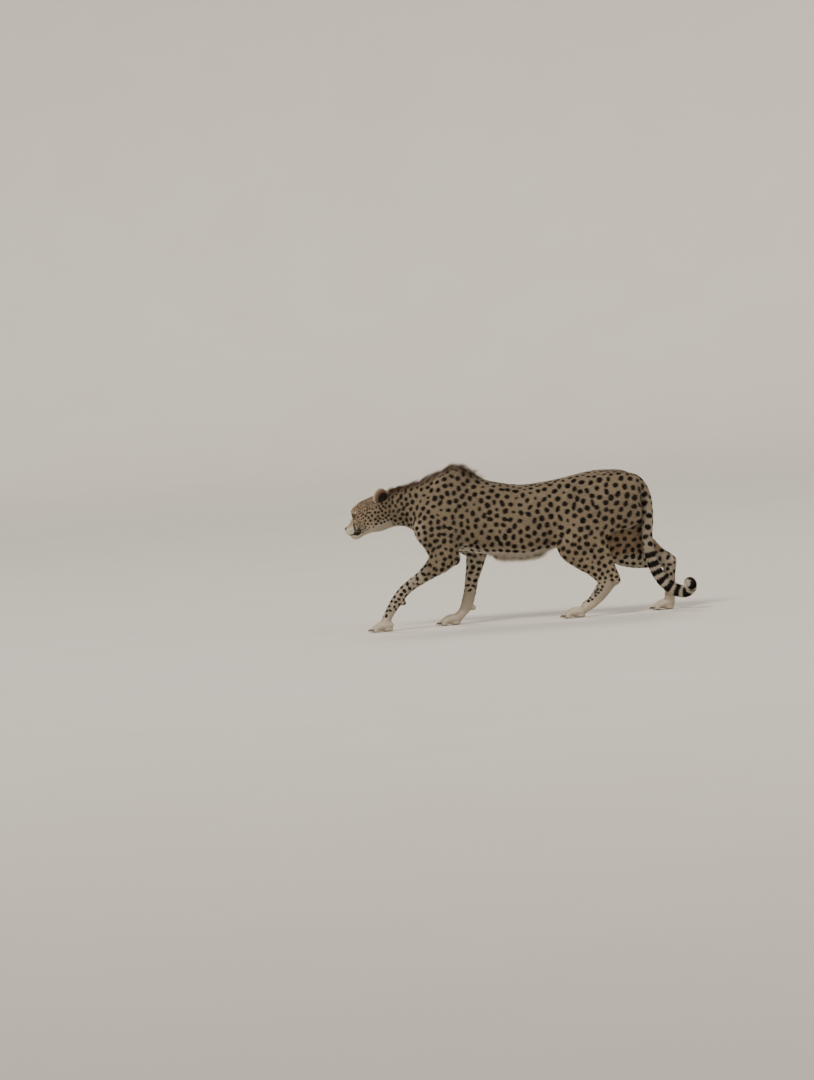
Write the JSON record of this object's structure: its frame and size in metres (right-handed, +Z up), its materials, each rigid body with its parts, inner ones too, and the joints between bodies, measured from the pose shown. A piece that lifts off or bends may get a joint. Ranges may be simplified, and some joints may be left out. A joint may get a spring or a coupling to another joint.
{
  "type": "cheetah figure",
  "caption": "Life-size spotted cheetah in a low stalking walk, head lowered and turned to its right, tail hanging with a curled tip.",
  "frame": {"origin": "on the floor, under the middle of the animal's box", "axes": "-X towards the nose, +X towards the tail, -Y the animal's left side, +Z up"},
  "size_m": [1.3068, 0.2102, 0.6116],
  "materials": {
    "coat": "short dense fur, tawny with solid black spots, pale on the belly, chin and paws",
    "eye": "wet amber eye with a round black pupil and dark rims",
    "claw": "dull dark horn"
  },
  "bodies": {
    "root": {"head": "coat", "neck": "coat", "trunk": "coat", "tail_root": "coat", "tail_middle": "coat", "tail_end": "coat", "ear_left": "coat", "eye_left": "eye", "foreleg_left_upper": "coat", "foreleg_left_lower": "coat", "foreleg_left_paw": "coat", "claw_fore_left_1": "claw", "claw_fore_left_2": "claw", "claw_fore_left_3": "claw", "claw_fore_left_4": "claw", "hindleg_left_upper": "coat", "hindleg_left_lower": "coat", "hindleg_left_paw": "coat", "claw_hind_left_1": "claw", "claw_hind_left_2": "claw", "claw_hind_left_3": "claw", "claw_hind_left_4": "claw", "ear_right": "coat", "eye_right": "eye", "foreleg_right_upper": "coat", "foreleg_right_lower": "coat", "foreleg_right_paw": "coat", "claw_fore_right_1": "claw", "claw_fore_right_2": "claw", "claw_fore_right_3": "claw", "claw_fore_right_4": "claw", "hindleg_right_upper": "coat", "hindleg_right_lower": "coat", "hindleg_right_paw": "coat", "claw_hind_right_1": "claw", "claw_hind_right_2": "claw", "claw_hind_right_3": "claw", "claw_hind_right_4": "claw"}
  },
  "joints": []
}
